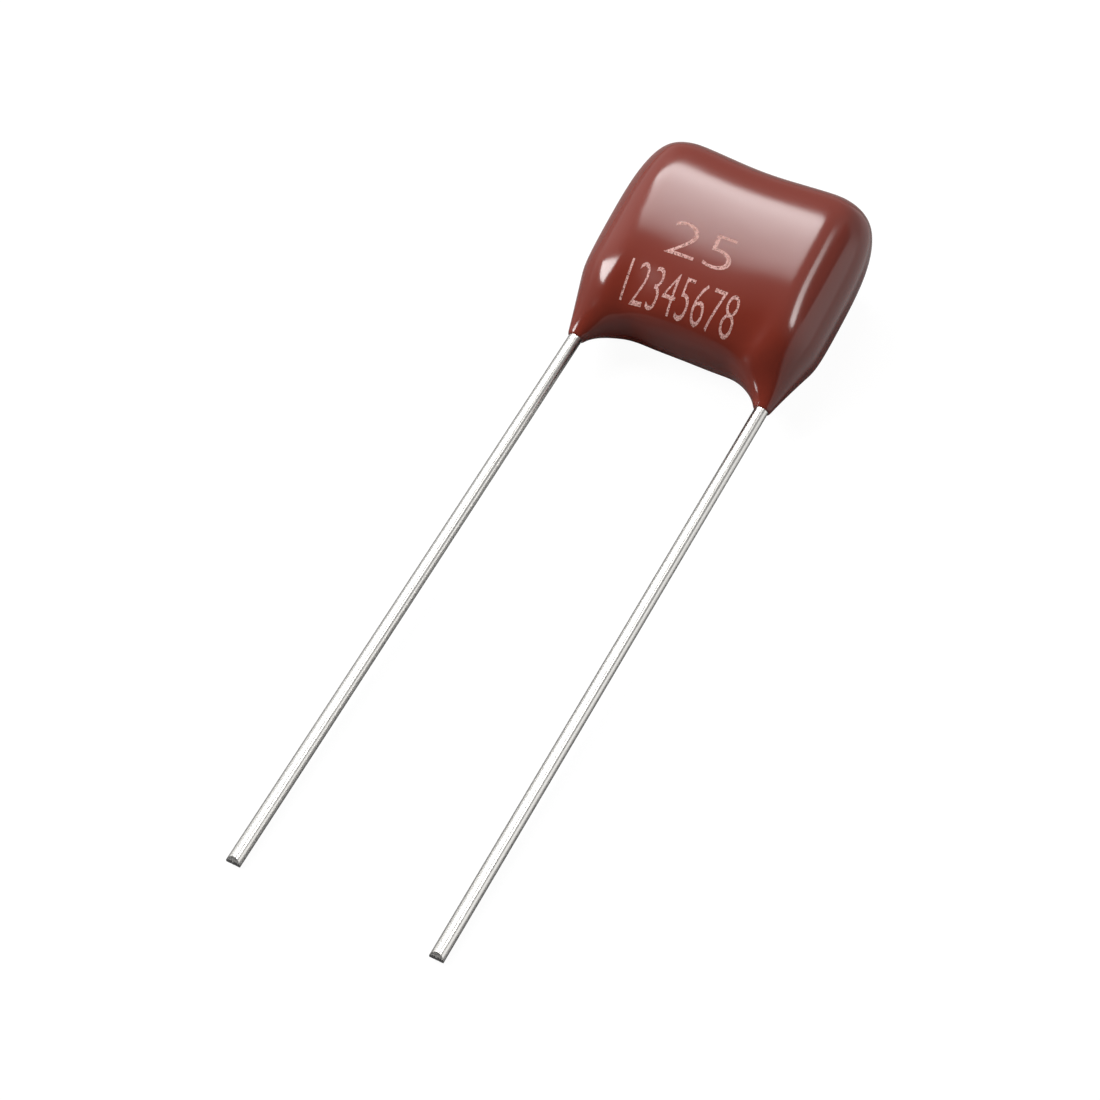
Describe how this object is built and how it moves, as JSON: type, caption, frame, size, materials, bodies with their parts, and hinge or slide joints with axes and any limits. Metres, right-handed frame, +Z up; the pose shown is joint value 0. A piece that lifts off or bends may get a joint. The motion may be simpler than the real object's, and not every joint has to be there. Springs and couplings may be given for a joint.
{
  "type": "polypropylene film capacitor",
  "caption": "Dipped radial film capacitor: glossy red-brown epoxy body with drained corners and an arched lower edge, on long straight tinned leads bent slightly where they leave the coating.",
  "frame": {"origin": "midway between the two lead axes, in the seating plane where the coating ends on them", "axes": "+X from the left lead to the right one, +Y towards the body with the free ends of the leads along -Y, +Z up, out of the face that carries the marking; the body is raised 9.4 degrees above the plane of the exposed leads"},
  "size_m": [0.0126, 0.0443, 0.0062],
  "materials": {
    "epoxy": "glossy dipped epoxy, red-brown",
    "film": "metallised film edges, satin grey",
    "sprayed_zinc": "rough sprayed zinc, matt grey",
    "tinned_wire": "bright tin over copper-clad steel wire"
  },
  "bodies": {
    "root": {"epoxy_coating": "epoxy", "film_winding": "film", "end_spray_left": "sprayed_zinc", "end_spray_right": "sprayed_zinc", "lead_left": "tinned_wire", "lead_right": "tinned_wire"}
  },
  "joints": []
}
